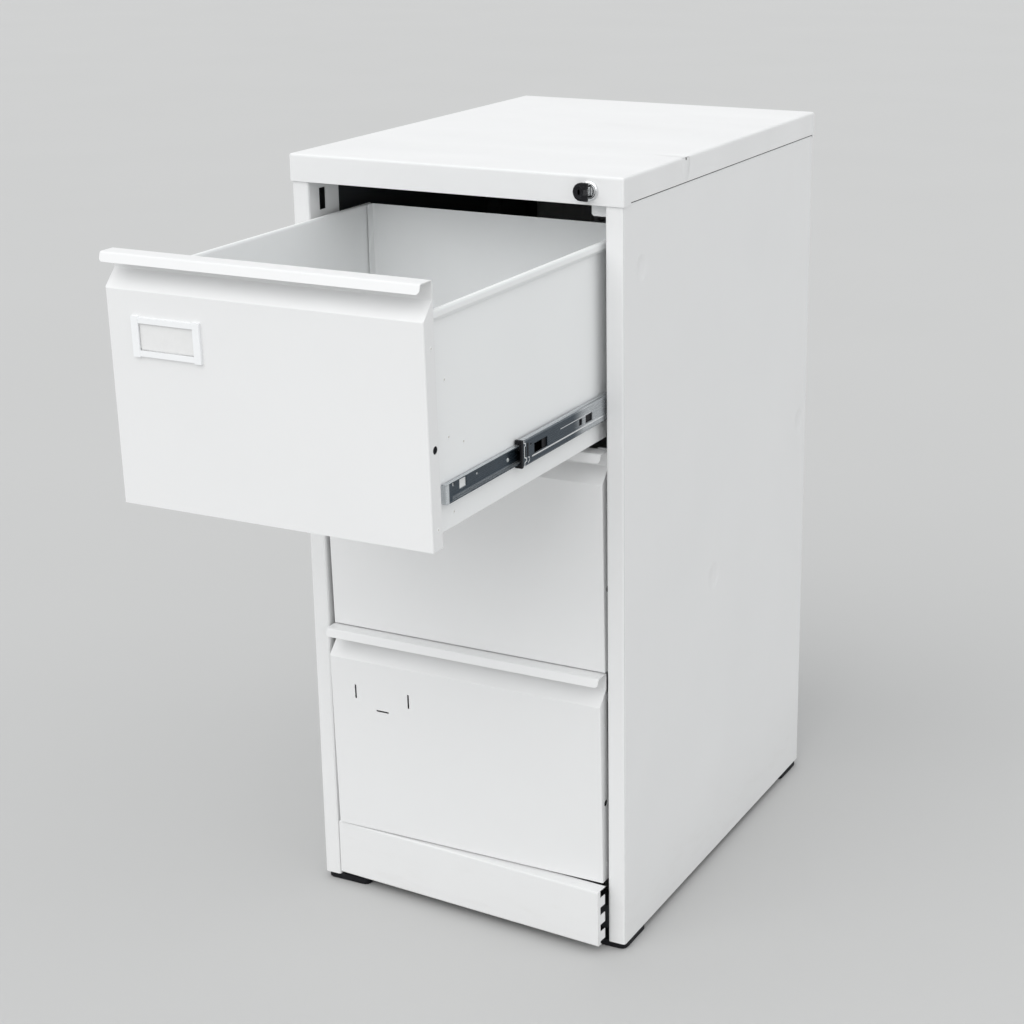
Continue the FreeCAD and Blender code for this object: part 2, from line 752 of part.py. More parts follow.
def lock_housing():
    """A turned bezel in front of the barrel, bored for the plug."""
    middle = (LOCK_X, LOCK_Z)
    loops = []
    for radius, y in ((12.0, 0.0), (11.6, -1.7), (9.6, -2.8)):
        corners = [Vector(a, y, b) for a, b in ring(radius, 32, middle)]
        loops.append(Part.makePolygon(corners + corners[:1]))
    bezel = Part.makeLoft(loops, True, True)
    barrel = prism(ring(9.0, 24, middle), on_xz(0), ALONG_Y * 17)
    return bezel.fuse(barrel).cut(prism(ring(6.12, 24, middle), on_xz(-5), ALONG_Y * 25))


def lock_nut():
    across = 24.0
    radius = across / 2 / math.cos(math.radians(30))
    points = []
    for step in range(6):
        angle = math.radians(60 * step + 30)
        points.append((LOCK_X + radius * math.cos(angle), LOCK_Z + radius * math.sin(angle)))
    nut = prism(points, on_xz(SHEET), ALONG_Y * 4)
    return nut.cut(prism(ring(9.15, 24, (LOCK_X, LOCK_Z)), on_xz(0), ALONG_Y * 8))


def lock_plug():
    """The turning core with its keyway, ending in a square shank for the cam."""
    core = prism(ring(6.0, 24, (LOCK_X, LOCK_Z)), on_xz(-2.2), ALONG_Y * 19.6)
    shank = block(LOCK_X - 3.5, LOCK_X + 3.5, 17.4, 20.0, LOCK_Z - 3.5, LOCK_Z + 3.5)
    keyway = block(LOCK_X - 1.3, LOCK_X + 1.3, -3, 15, LOCK_Z - 3.8, LOCK_Z + 3.8)
    return core.fuse(shank).removeSplitter().cut(keyway)


def lock_cam():
    """A plate on the shank whose crank pin lowers the bar's head."""
    side = CAM_R * math.cos(math.radians(45))
    pin = (LOCK_X + side, LOCK_Z + side)
    plane = on_xz(17.6)
    plate = prism(ring(7.5, 20, (LOCK_X, LOCK_Z)), plane, ALONG_Y * 1.9)
    plate = plate.fuse(prism(ring(5.0, 16, pin), plane, ALONG_Y * 1.9))
    plate = plate.fuse(prism(ring(1.9, 12, pin), plane, ALONG_Y * 7.4)).removeSplitter()
    return plate.cut(block(LOCK_X - 3.5, LOCK_X + 3.5, 17, 19.6, LOCK_Z - 3.5, LOCK_Z + 3.5))


def bar_head():
    """The plate on top of the bar: slotted for the crank pin, and the top drawer's finger below."""
    side = CAM_R * math.cos(math.radians(45))
    pin_z = LOCK_Z + side
    low = LIP_TOP - FINGER_DROP
    plate = block(HEAD_X, BAR_X + BAR_T, BAR_FRONT - BAR_T, BAR_FRONT, low, LOCK_Z + 11)
    corner = [e for e in plate.Edges if e.BoundBox.YLength > 1 and e.BoundBox.XMax < LOCK_X
              and e.BoundBox.ZMax < low + 1]
    plate = plate.makeChamfer(2.4, corner)
    slot = block(LOCK_X + side - 2.6, LOCK_X + CAM_R + 2.6, 20, 30, pin_z - 2.4, pin_z + 2.4)
    return plate.cut(slot)


def bar_guide(z):
    """An omega clip on the back of the post's return that keeps the bar upright."""
    x = OPENING_HALF + SHEET + 0.5
    bridge = BAR_X + BAR_T + 1.2
    line = [
        (x, BAR_FRONT - 9), (x, BAR_FRONT - 2.5), (bridge, BAR_FRONT - 2.5),
        (bridge, BAR_BACK + 2.5), (x, BAR_BACK + 2.5), (x, BAR_BACK + 9),
    ]
    return folded(line, 0.9, 1.0, on_xy(z), ALONG_Z * 14)


# Key

def key():
    blade = block(LOCK_X - 1.1, LOCK_X + 1.1, KEY_PIN_Y, 14, LOCK_Z - 3.5, LOCK_Z + 3.5)
    tip = [e for e in blade.Edges if e.BoundBox.YMin > 13.9 and e.BoundBox.XLength > 1]
    blade = blade.makeChamfer(2.0, tip)
    pin = (LOCK_X, KEY_PIN_Y)
    head = prism(ring(3.0, 16, pin), on_xy(LOCK_Z - 3.5), ALONG_Z * 7)
    shoulder = block(LOCK_X - 2.2, LOCK_X + 2.2, -7.2, -3.6, LOCK_Z - 4.8, LOCK_Z + 4.8)
    bore = prism(ring(1.0, 12, pin), on_xy(LOCK_Z - 12), ALONG_Z * 24)
    keep("key_blade", blade.fuse([head, shoulder]).removeSplitter().cut(bore))
    keep("key_pin", prism(ring(1.0, 12, pin), on_xy(LOCK_Z - 9.5), ALONG_Z * 19))
    keep("key_bow", key_bow())


def key_bow():
    """A D-shaped grip folded flat to the left, forked round the blade's eye."""
    right = LOCK_X + 3.4
    left = LOCK_X - 15.0
    half_h = 10.8
    bulge = 10.0
    outline = [(right, LOCK_Z - half_h), (right, LOCK_Z + half_h), (left + bulge, LOCK_Z + half_h)]
    for step in range(1, 8):
        angle = math.pi / 2 + math.pi * step / 8
        outline.append((left + bulge + bulge * math.cos(angle), LOCK_Z + half_h * math.sin(angle)))
    outline.append((left + bulge, LOCK_Z - half_h))
    grip = prism(outline, on_xz(KEY_PIN_Y - 2.8), ALONG_Y * 5.6)
    rims = [e for e in grip.Edges if e.BoundBox.YLength < 0.01]
    grip = grip.makeChamfer(0.9, rims)
    pin = (LOCK_X, KEY_PIN_Y)
    fork = block(LOCK_X - 1.6, right + 1, KEY_PIN_Y - 4, KEY_PIN_Y + 4, LOCK_Z - 3.9, LOCK_Z + 3.9)
    eye = prism(ring(3.5, 16, pin), on_xy(LOCK_Z - 3.9), ALONG_Z * 7.8)
    bore = prism(ring(1.1, 12, pin), on_xy(LOCK_Z - 12), ALONG_Z * 24)
    return grip.cut([fork, eye, bore])


# Kick plate

def plinth():
    """A folded plate with a top flange and end flanges cut into three tabs, swung out about the
    front corner of its left end."""
    half = SHEET / 2
    back = BODY_FRONT + PLINTH_DEPTH
    line = [
        (back, PLINTH_TOP - half),
        (BODY_FRONT + half, PLINTH_TOP - half),
        (BODY_FRONT + half, PLINTH_BOTTOM + half),
        (BODY_FRONT + 9, PLINTH_BOTTOM + half),
    ]
    plate = folded(line, 1.5, SHEET, on_yz(-PLINTH_HALF), ALONG_X * (2 * PLINTH_HALF))
    for side in (-1, 1):
        x = side * PLINTH_HALF
        inner = x - side * SHEET
        low, high = min(x, inner), max(x, inner)
        strip = block(low, high, BODY_FRONT + half, BODY_FRONT + 7, PLINTH_BOTTOM + half, PLINTH_TOP - half)
        tabs = [block(low, high, BODY_FRONT + 6, back - 1, z, z + 13.5) for z in (19.0, 43.0, 68.0)]
        plate = plate.fuse([strip] + tabs)
    plate = plate.removeSplitter()
    plate.rotate(Vector(-PLINTH_HALF, BODY_FRONT + SHEET, 0), ALONG_Z, -PLINTH_SWING)
    keep("plinth_panel", plate)


def main():
    casing()
    base()
    for name in LIP:
        drawer(name)
    lip = LIP["top"]
    keep("label_holder_top", *move_out(OUT["top"], label_holder(lip)))
    lock()
    key()
    plinth()
    os.makedirs("parts", exist_ok=True)
    for name, shape in pieces.items():
        bad = [s for s in shape.Solids if not s.isValid() or s.Volume <= 0]
        if bad or not shape.Solids:
            print("NOT SOUND", name, len(shape.Solids))
        shape.exportStep("parts/" + name + ".step")
    whole = Part.makeCompound(list(pieces.values())).BoundBox
    print("pieces", len(pieces), "shift", round(Y_SHIFT, 4))
    print("box", [round(v, 3) for v in (whole.XMin, whole.YMin, whole.ZMin, whole.XMax, whole.YMax, whole.ZMax)])


main()
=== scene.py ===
import math

import bmesh
import bpy
from mathutils import Matrix, Vector


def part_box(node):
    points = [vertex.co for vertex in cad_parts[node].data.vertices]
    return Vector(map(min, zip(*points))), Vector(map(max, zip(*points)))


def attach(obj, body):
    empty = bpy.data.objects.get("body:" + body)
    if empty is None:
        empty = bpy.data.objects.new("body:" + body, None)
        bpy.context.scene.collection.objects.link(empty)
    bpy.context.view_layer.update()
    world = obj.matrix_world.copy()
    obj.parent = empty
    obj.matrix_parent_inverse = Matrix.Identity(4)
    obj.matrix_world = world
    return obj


bl_info = {
    "name": "Filing cabinet dressing",
    "version": (1, 0, 0),
    "blender": (4, 5, 0),
    "location": "3D View > Sidebar > Cabinet",
    "description": "Paint, plating, small fittings and a studio for a folded-steel filing cabinet",
    "category": "Object",
}

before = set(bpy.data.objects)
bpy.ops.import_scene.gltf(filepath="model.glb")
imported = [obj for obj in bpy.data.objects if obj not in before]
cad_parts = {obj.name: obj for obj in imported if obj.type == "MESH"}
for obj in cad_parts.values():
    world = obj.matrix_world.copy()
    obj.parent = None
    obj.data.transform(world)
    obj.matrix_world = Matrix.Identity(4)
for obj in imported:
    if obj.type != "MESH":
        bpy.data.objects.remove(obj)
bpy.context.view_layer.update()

MM = 0.001
DRAWERS = ("top", "middle", "bottom")
LIP_REACH = 6.5 * MM  # how far a drawer's pull lip stands before its side flanges' corner
FRONT_FALL = 249.5 * MM  # height over which a drawer's front leans
FRONT_LEAN = 6.0 * MM  # how far it leans over that height
WHITE = (1, 1, 1, 1)


# Shader arithmetic

class Value:
    """A number that varies over a surface, with ordinary arithmetic adding its nodes."""

    def __init__(self, finish, socket):
        self.finish = finish
        self.socket = socket

    def size(self):
        """The number without its sign."""
        return self._math("ABSOLUTE", self)

    def _math(self, operation, *terms):
        node = self.finish.node("ShaderNodeMath", {"operation": operation}, dict(enumerate(terms)))
        return Value(self.finish, node.outputs[0])

    def __add__(self, other):
        return self._math("ADD", self, other)

    __radd__ = __add__

    def __sub__(self, other):
        return self._math("SUBTRACT", self, other)

    def __rsub__(self, other):
        return self._math("SUBTRACT", other, self)

    def __mul__(self, other):
        return self._math("MULTIPLY", self, other)

    __rmul__ = __mul__

    def __truediv__(self, other):
        return self._math("DIVIDE", self, other)

    def between(self, low, high):
        """A smooth step: 0 below low and 1 above high."""
        sockets = {0: self, 1: low, 2: high, 3: 0.0, 4: 1.0}
        node = self.finish.node("ShaderNodeMapRange", {"interpolation_type": "SMOOTHSTEP"}, sockets)
        return Value(self.finish, node.outputs[0])


class Finish:
    """A material under construction."""

    def __init__(self, name):
        self.material = bpy.data.materials.new(name)
        self.material.use_nodes = True
        self.tree = self.material.node_tree
        self.shader = self.tree.nodes["Principled BSDF"]

    def node(self, kind, settings=None, sockets=None):
        """Adds a node, with its settings made first and then its sockets filled or linked."""
        node = self.tree.nodes.new(kind)
        for name, setting in (settings or {}).items():
            setattr(node, name, setting)
        for key, value in (sockets or {}).items():
            self.feed(node.inputs[key], value)
        return node

    def feed(self, socket, value):
        if isinstance(value, Value):
            value = value.socket
        if isinstance(value, bpy.types.NodeSocket):
            self.tree.links.new(value, socket)
        else:
            socket.default_value = value

    def set(self, **constants):
        for name, value in constants.items():
            self.shader.inputs[name.replace("_", " ")].default_value = value

    def vary(self, name, value):
        self.feed(self.shader.inputs[name], value)

    def place(self, stretch=(1.0, 1.0, 1.0)):
        """Position on the piece in metres, stretched per axis."""
        coords = self.node("ShaderNodeTexCoord").outputs["Object"]
        if stretch == (1.0, 1.0, 1.0):
            return coords
        sockets = {0: coords, 1: stretch}
        return self.node("ShaderNodeVectorMath", {"operation": "MULTIPLY"}, sockets).outputs[0]

    def noise(self, scale, detail=3.0, rough=0.5, stretch=(1.0, 1.0, 1.0), warp=0.0):
        sockets = {"Vector": self.place(stretch), "Scale": scale, "Detail": detail,
                   "Roughness": rough, "Distortion": warp}
        return Value(self, self.node("ShaderNodeTexNoise", None, sockets).outputs[0])

    def cells(self, scale):
        """Distance from the middle of the nearest cell."""
        sockets = {"Vector": self.place(), "Scale": scale}
        return Value(self, self.node("ShaderNodeTexVoronoi", None, sockets).outputs["Distance"])

    def along(self, axis):
        """One coordinate of the position, in metres."""
        node = self.node("ShaderNodeSeparateXYZ", None, {0: self.place()})
        return Value(self, node.outputs[axis])

    def upturned_highlight_mask(self):
        """Mask for a painted highlight: 1 where the surface faces the sky, 0 where it is upright or
        faces down.
        """
        normal = self.node("ShaderNodeTexCoord").outputs["Normal"]
        node = self.node("ShaderNodeSeparateXYZ", None, {0: normal})
        return Value(self, node.outputs[2]).between(0.25, 0.8)

    def mix(self, factor, low, high):
        """A colour between two colours."""
        node = self.node("ShaderNodeMix", {"data_type": "RGBA"}, {0: factor, 6: low, 7: high})
        return node.outputs[2]

    def emboss(self, *layers):
        """Stacks bump layers, each a height, a strength and a depth in millimetres."""
        normal = None
        for height, strength, depth in layers:
            sockets = {"Height": height, "Strength": strength, "Distance": depth * MM}
            if normal is not None:
                sockets["Normal"] = normal
            normal = self.node("ShaderNodeBump", None, sockets).outputs[0]
        self.vary("Normal", normal)


def tint(colour, factor):
    """A colour made darker or lighter, with its alpha kept."""
    return tuple(min(1.0, c * factor) for c in colour[:3]) + (1.0,)


def blend(a, b, share):
    """A colour that is a share of the way from a to b."""
    return tuple(x + (y - x) * share for x, y in zip(a[:3], b[:3])) + (1.0,)


# Finishes

def powder_coat(name, colour, dust, gloss, grime=0.0, shade_inside=None, knocks=None):
    """Sprayed and baked paint: a fine orange peel, faint rolling of the sheet and handling marks.

    knocks gives the bump layers of a panel's dents and the share of its surface that turns to a
    near-black spot."""
    finish = Finish(name)
    dusty = blend(colour, dust, 0.22)
    cloud = finish.noise(4.5, 4.0, 0.55)
    rub = finish.noise(22.0, 5.0, 0.62, (1.0, 1.0, 0.35), 0.4)
    speck = finish.noise(420.0, 2.0, 0.5).between(0.70, 0.78)
    base = finish.mix(cloud.between(0.35, 0.75) * 0.5, colour, tint(colour, 0.975))
    base = finish.mix(speck * 0.16, base, tint(colour, 0.80))
    if grime:
        low = 1 - finish.along(2).between(0.0, 0.16)
        scuff = finish.noise(60.0, 6.0, 0.7, (0.25, 0.25, 1.0)).between(0.50, 0.72)
        base = finish.mix(low * (0.35 + scuff * 0.65) * grime, base, dusty)
    # Painted shade: the casing's inner skins take a dark colour in place of the shade inside the
    # casing.
    if shade_inside:
        base = finish.mix(inside_shade_mask(finish), base, shade_inside)
    dents, dark_spot_share = knocks(finish) if knocks else ([], None)
    # A small near-black spot where the knocks give one.
    if dark_spot_share:
        base = finish.mix(dark_spot_share, base, tint(colour, 0.12))
    finish.vary("Base Color", base)
    finish.vary("Roughness", gloss + rub.between(0.35, 0.8) * 0.10 + cloud * 0.05)
    finish.set(Specular_IOR_Level=0.3)
    peel = finish.noise(700.0, 2.0, 0.5)
    roll = finish.noise(5.5, 2.0, 0.5)
    finish.emboss((roll, 0.16, 1.1), *dents, (peel, 0.10, 0.06))
    return finish.material


def near(finish, spot, reach):
    """1 at a spot on the piece, falling to 0 at its reach, given in millimetres per axis."""
    apart = 0.0
    for axis in range(3):
        step = (finish.along(axis) - spot[axis]) / (reach[axis] * MM)
        apart = step * step + apart
    return 1 - apart.between(0.0, 1.0)


def cover_knocks(finish):
    """A knock on the cover's right edge: top dished, flange bulged and a near-black spot on the
    fold.
    """
    low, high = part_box("top_cover")
    spot = Vector((high.x, low.y + 179 * MM, high.z))
    top = finish.along(2).between(high.z - 2.4 * MM, high.z - 0.9 * MM)
    knock = near(finish, spot, (48.0, 13.0, 36.0)) * (1 - top * 2.0)
    ripple = finish.noise(8.0, 1.0, 0.5, (0.4, 1.0, 1.0))
    fold_spot = near(finish, spot - Vector((0, 0, 3.0 * MM)), (4.0, 2.6, 2.6)).between(0.2, 0.7)
    return [(ripple, 0.8, 12.0), (knock, 1.0, 1.6)], fold_spot


def side_knocks(finish):
    """Three shallow dents in the right side panel and the slight wave of its sheet."""
    low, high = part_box("side_panel_right")
    dents = 0.0
    for depth, height, reach in ((50.0, 891.0, 15.0), (283.0, 419.0, 18.0), (598.0, 558.0, 16.0)):
        spot = Vector((high.x, low.y + depth * MM, low.z + height * MM))
        dents = near(finish, spot, (5.0, reach, reach * 1.2)) + dents
    wave = finish.noise(5.0, 1.0, 0.5)
    return [(wave, 0.8, 6.0), (1 - dents, 1.0, 1.1)], None


def inside_shade_mask(finish):
    """Painted shade mask: 1 on the casing's inner skins, behind the posts and inside them, where a
    dark colour stands in for the shade inside the casing, and 0 on what shows.
    """
    low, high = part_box("side_panel_right")
    across = finish.along(0).size()
    depth = finish.along(1)
    beside = across.between(high.x - 0.7 * MM, high.x - 0.4 * MM)
    above = finish.along(2).between(high.z + 0.9 * MM, high.z + 1.1 * MM)
    behind = depth.between(high.y + 0.5 * MM, high.y + 1.0 * MM)
    within = (1 - beside) * (1 - above) * (1 - behind)
    behind_posts = depth.between(low.y + 71 * MM, low.y + 74 * MM)
    in_posts = across.between(low.x + 1.2 * MM, low.x + 1.6 * MM)
    in_posts = in_posts * depth.between(low.y + 1.3 * MM, low.y + 1.6 * MM)
    return within * (1 - (1 - behind_posts) * (1 - in_posts))


def zinc_plate(name, colour, shade, highlight_and_pale_zinc, roughness, run, tone=None):
    """Zinc on rolled strip: streaks along its length, pale spangle, dark grease and a painted
    highlight on faces that turn upwards.

    tone gives a pale share and a near-black share of the surface from its position; the near-black
    share is painted shade."""
    finish = Finish(name)
    stretch = (1.0, 0.04, 1.0) if run == "y" else (1.0, 1.0, 0.04)
    streak = finish.noise(900.0, 4.0, 0.6, stretch)
    spangle = finish.cells(260.0)
    grease = finish.noise(34.0, 5.0, 0.6, (1.0, 0.3, 1.0), 0.6).between(0.45, 0.75)
    base = finish.mix(streak.between(0.3, 0.75), colour, tint(colour, 1.22))
    base = finish.mix(spangle.between(0.2, 0.9) * 0.25, base, tint(colour, 0.85))
    base = finish.mix(grease * 0.55, base, shade)
    # Painted highlight: faces that turn upwards take the pale highlight colour in place of the
    # light they catch.
    base = finish.mix(finish.upturned_highlight_mask() * 0.85, base, highlight_and_pale_zinc)
    if tone:
        pale, shade_share = tone(finish)
        base = finish.mix(pale, base, tint(highlight_and_pale_zinc, 0.86))
        # Painted shade: the near-black share stands in for the shade inside the slides.
        base = finish.mix(shade_share, base, tint(shade, 0.25))
    finish.vary("Base Color", base)
    finish.vary("Roughness", roughness + streak * 0.16 - grease * 0.06)
    finish.set(Metallic=0.72)
    finish.emboss((streak, 0.12, 0.05), (finish.noise(90.0, 3.0), 0.05, 0.10))
    return finish.material


def inner_tone(drawer):
    """Pale on the bent stop at the front, partly painted highlight, and near black as painted shade
    where the cages run.
    """
    low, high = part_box("slide_inner_" + drawer)

    def tone(finish):
        depth = finish.along(1)
        outermost = finish.along(0).size().between(high.x - 5.5 * MM, high.x - 4.5 * MM)
        # The stop is pale zinc, and the paleness laid over its shaded front face is painted
        # highlight.
        stop = (1 - depth.between(low.y + 4.5 * MM, low.y + 6.5 * MM)) * outermost
        # Painted shade: near black behind a ramp from 158 to 172 mm back, where the cages run.
        return stop, depth.between(low.y + 158 * MM, low.y + 172 * MM) * 0.92

    return tone


def member_tone(drawer):
    """Paler behind its windows, oily in front of them."""
    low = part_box("slide_member_" + drawer)[0]

    def tone(finish):
        return finish.along(1).between(low.y + 122 * MM, low.y + 160 * MM) * 0.8, 0.0

    return tone


def eye_cover(finish):
    """The eye of the key's blade, between the cheeks of the grip."""
    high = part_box("key_bow")[1]
    return 1 - finish.along(1).between(high.y + 0.1 * MM, high.y + 0.3 * MM)


def bright_chrome(name, colour, grip=None):
    """Polished plating with hairline wipes and a few dull spots.

    grip gives the share of the surface that is moulded over in black."""
    finish = Finish(name)
    wipe = finish.noise(1500.0, 3.0, 0.6, (1.0, 1.0, 0.06))
    dull = finish.noise(180.0, 4.0, 0.6).between(0.55, 0.72)
    base = finish.mix(dull * 0.5, colour, tint(colour, 0.72))
    gloss = 0.10 + wipe * 0.08 + dull * 0.18
    finish.set(Metallic=1.0)
    if grip:
        covered = grip(finish)
        base = finish.mix(covered, base, (0.010, 0.010, 0.012, 1))
        gloss = gloss + covered * 0.4
        finish.vary("Metallic", 1 - covered)
    finish.vary("Base Color", base)
    finish.vary("Roughness", gloss)
    finish.emboss((wipe, 0.06, 0.03))
    return finish.material


def moulded_black(name, colour):
    """Spark-eroded black moulding, greyed where it rubs."""
    finish = Finish(name)
    grain = finish.noise(1100.0, 3.0, 0.6)
    rub = finish.noise(70.0, 5.0, 0.65).between(0.52, 0.78)
    rubbed = blend(colour, (0.05, 0.05, 0.055), 0.7)
    finish.vary("Base Color", finish.mix(rub * 0.35, colour, rubbed))
    finish.vary("Roughness", 0.46 + grain * 0.14 + rub * 0.08)
    finish.set(Specular_IOR_Level=0.16)
    finish.emboss((grain, 0.22, 0.05))
    return finish.material


def moulded_white(name, colour):
    """Glossy white moulding with soft flow marks."""
    finish = Finish(name)
    flow = finish.noise(55.0, 3.0, 0.5, (0.3, 1.0, 1.0))
    dust = finish.noise(500.0, 3.0, 0.5).between(0.66, 0.76)
    base = finish.mix(flow.between(0.3, 0.8) * 0.6, colour, tint(colour, 0.965))
    finish.vary("Base Color", finish.mix(dust * 0.2, base, tint(colour, 0.82)))
    finish.vary("Roughness", 0.24 + flow * 0.10)
    finish.emboss((flow, 0.05, 0.2))
    return finish.material


def card_stock(name, colour):
    """Plain uncoated card: mottled fibres and a faint tooth."""
    finish = Finish(name)
    fibre = finish.noise(1300.0, 5.0, 0.7, (0.4, 1.0, 1.0))
    mottle = finish.noise(70.0, 4.0, 0.6)
    base = finish.mix(mottle.between(0.35, 0.7) * 0.6, colour, tint(colour, 0.955))
    finish.vary("Base Color", finish.mix(fibre.between(0.5, 0.8) * 0.3, base, tint(colour, 0.90)))
    finish.vary("Roughness", 0.82 + fibre * 0.1)
    finish.emboss((fibre, 0.25, 0.05))
    return finish.material


# Mesh helpers

def put(name, bm, material, body, smooth=35.0):
    """Turns a bmesh into a piece that rides on a body; smooth is the sharpest rounded corner."""
    mesh = bpy.data.meshes.new(name)
    bmesh.ops.recalc_face_normals(bm, faces=bm.faces)
    bm.to_mesh(mesh)
    bm.free()
    piece = bpy.data.objects.new(name, mesh)
    bpy.context.scene.collection.objects.link(piece)
    mesh.materials.append(material)
    mesh.shade_smooth()
    mesh.set_sharp_from_angle(angle=math.radians(smooth))
    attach(piece, body)
    return piece


def turned(bm, profile, start, way, sides=32):
    """Spins (radius, distance) pairs about an axis, closing each end that reaches radius 0."""
    spin = way.normalized().to_track_quat("Z", "Y").to_matrix()
    rings = []
    for radius, along in profile:
        if radius < 1e-7:
            rings.append([bm.verts.new(start + spin @ Vector((0, 0, along)))])
            continue
        ring = []
        for k in range(sides):
            turn = 2 * math.pi * k / sides
            spot = Vector((radius * math.cos(turn), radius * math.sin(turn), along))
            ring.append(bm.verts.new(start + spin @ spot))
        rings.append(ring)
    for low, high in zip(rings, rings[1:]):
        for k in range(sides):
            a = [low[k % len(low)], low[(k + 1) % len(low)]]
            b = [high[(k + 1) % len(high)], high[k % len(high)]]
            corners = list(dict.fromkeys(a + b))
            if len(corners) > 2:
                bm.faces.new(corners)
    return bm


def wear(*finishes):
    """Gives CAD nodes their finish: pairs of a name's beginning and a material."""
    for node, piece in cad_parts.items():
        for start, material in finishes:
            if node.startswith(start):
                piece.data.materials.clear()
                piece.data.materials.append(material)
                break


def finish_of(name):
    """A finish that the finishes step has made."""
    return bpy.data.materials[name]


# Settings

class CabinetColours(bpy.types.PropertyGroup):
    """Colours of the paint, plating and plastics."""
    front: bpy.props.FloatVectorProperty(
        name="Fronts", description="Paint of the drawer fronts and casing", subtype="COLOR", size=4,
        min=0, max=1, default=(0.825, 0.827, 0.827, 1))
    # A whiter paint than the fronts; part of its extra lightness is painted light, standing in for
    # light bounced round inside the drawers.
    inside: bpy.props.FloatVectorProperty(
        name="Drawer boxes", description="Paint of the drawer boxes and inner framing",
        subtype="COLOR", size=4, min=0, max=1, default=(0.875, 0.885, 0.885, 1))
    dust: bpy.props.FloatVectorProperty(
        name="Dust", description="Colour of dust low on the casing", subtype="COLOR", size=4,
        min=0, max=1, default=(0.50, 0.47, 0.42, 1))
    slides: bpy.props.FloatVectorProperty(
        name="Slides", description="Plated strip of the ball slides", subtype="COLOR", size=4,
        min=0, max=1, default=(0.039, 0.056, 0.074, 1))
    grease: bpy.props.FloatVectorProperty(
        name="Grease", description="Greasy parts of the slides", subtype="COLOR", size=4,
        min=0, max=1, default=(0.038, 0.05, 0.062, 1))
    plated: bpy.props.FloatVectorProperty(
        name="Lock bar", description="Plated lock parts", subtype="COLOR", size=4,
        min=0, max=1, default=(0.52, 0.55, 0.56, 1))
    chrome: bpy.props.FloatVectorProperty(
        name="Lock", description="Polished lock and key", subtype="COLOR", size=4,
        min=0, max=1, default=(0.72, 0.73, 0.74, 1))
    plastic: bpy.props.FloatVectorProperty(
        name="Black plastic", description="Feet, slide stops and key grip", subtype="COLOR", size=4,
        min=0, max=1, default=(0.009, 0.009, 0.011, 1))
    holder: bpy.props.FloatVectorProperty(
        name="Label holder", description="White moulded frame", subtype="COLOR", size=4,
        min=0, max=1, default=(0.90, 0.91, 0.92, 1))
    card: bpy.props.FloatVectorProperty(
        name="Label card", description="Blank card in the holder", subtype="COLOR", size=4,
        min=0, max=1, default=(0.80, 0.80, 0.795, 1))
    # Painted shade: a dark colour laid on the casing's inner skins and inner framing in place of
    # the shade inside the casing.
    shade_inside: bpy.props.FloatVectorProperty(
        name="Inner skins", description="Dark primer inside the casing", subtype="COLOR", size=4,
        min=0, max=1, default=(0.075, 0.08, 0.085, 1))
    # Painted highlight: laid on zinc faces that turn upwards in place of the light they catch; it
    # is also the base of the pale zinc of the slide stops.
    highlight_and_pale_zinc: bpy.props.FloatVectorProperty(
        name="Zinc sheen", description="Bright plating on upturned edges", subtype="COLOR", size=4,
        min=0, max=1, default=(0.66, 0.69, 0.71, 1))


class CabinetSizes(bpy.types.PropertyGroup):
    """Sizes of the small fittings."""
    weld: bpy.props.FloatProperty(
        name="Weld mark", description="Radius of a spot weld's mark",
        subtype="DISTANCE", default=2.6 * MM)
    screw: bpy.props.FloatProperty(
        name="Screw head", description="Radius of a slide screw's head",
        subtype="DISTANCE", default=3.6 * MM)
    rivet: bpy.props.FloatProperty(
        name="Rivet head", description="Radius of a back panel rivet's head",
        subtype="DISTANCE", default=3.2 * MM)
    shift: bpy.props.FloatProperty(
        name="Cover to origin", description="How far the cover's front lies from the origin",
        subtype="DISTANCE", default=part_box("top_cover")[0].y)


class CabinetView(bpy.types.PropertyGroup):
    """Where the camera stands, measured from the front of the top cover."""
    eye: bpy.props.FloatVectorProperty(
        name="Eye", description="Camera position", subtype="TRANSLATION", size=3,
        default=(1.2577, -2.1418, 1.4083))
    turn: bpy.props.FloatProperty(
        name="Turn", description="Compass angle", subtype="ANGLE", default=math.radians(26.445))
    pitch: bpy.props.FloatProperty(
        name="Pitch", description="Angle above level",
        subtype="ANGLE", default=math.radians(-17.198))
    roll: bpy.props.FloatProperty(
        name="Roll", description="Tilt of the horizon",
        subtype="ANGLE", default=math.radians(-0.371))
    lens: bpy.props.FloatProperty(
        name="Lens", description="Focal length in millimetres", default=72.18)
    across: bpy.props.FloatProperty(
        name="Shift across", description="Lens shift sideways", default=-0.08)
    up: bpy.props.FloatProperty(
        name="Shift up", description="Lens shift upwards", default=-0.05)


# Operators

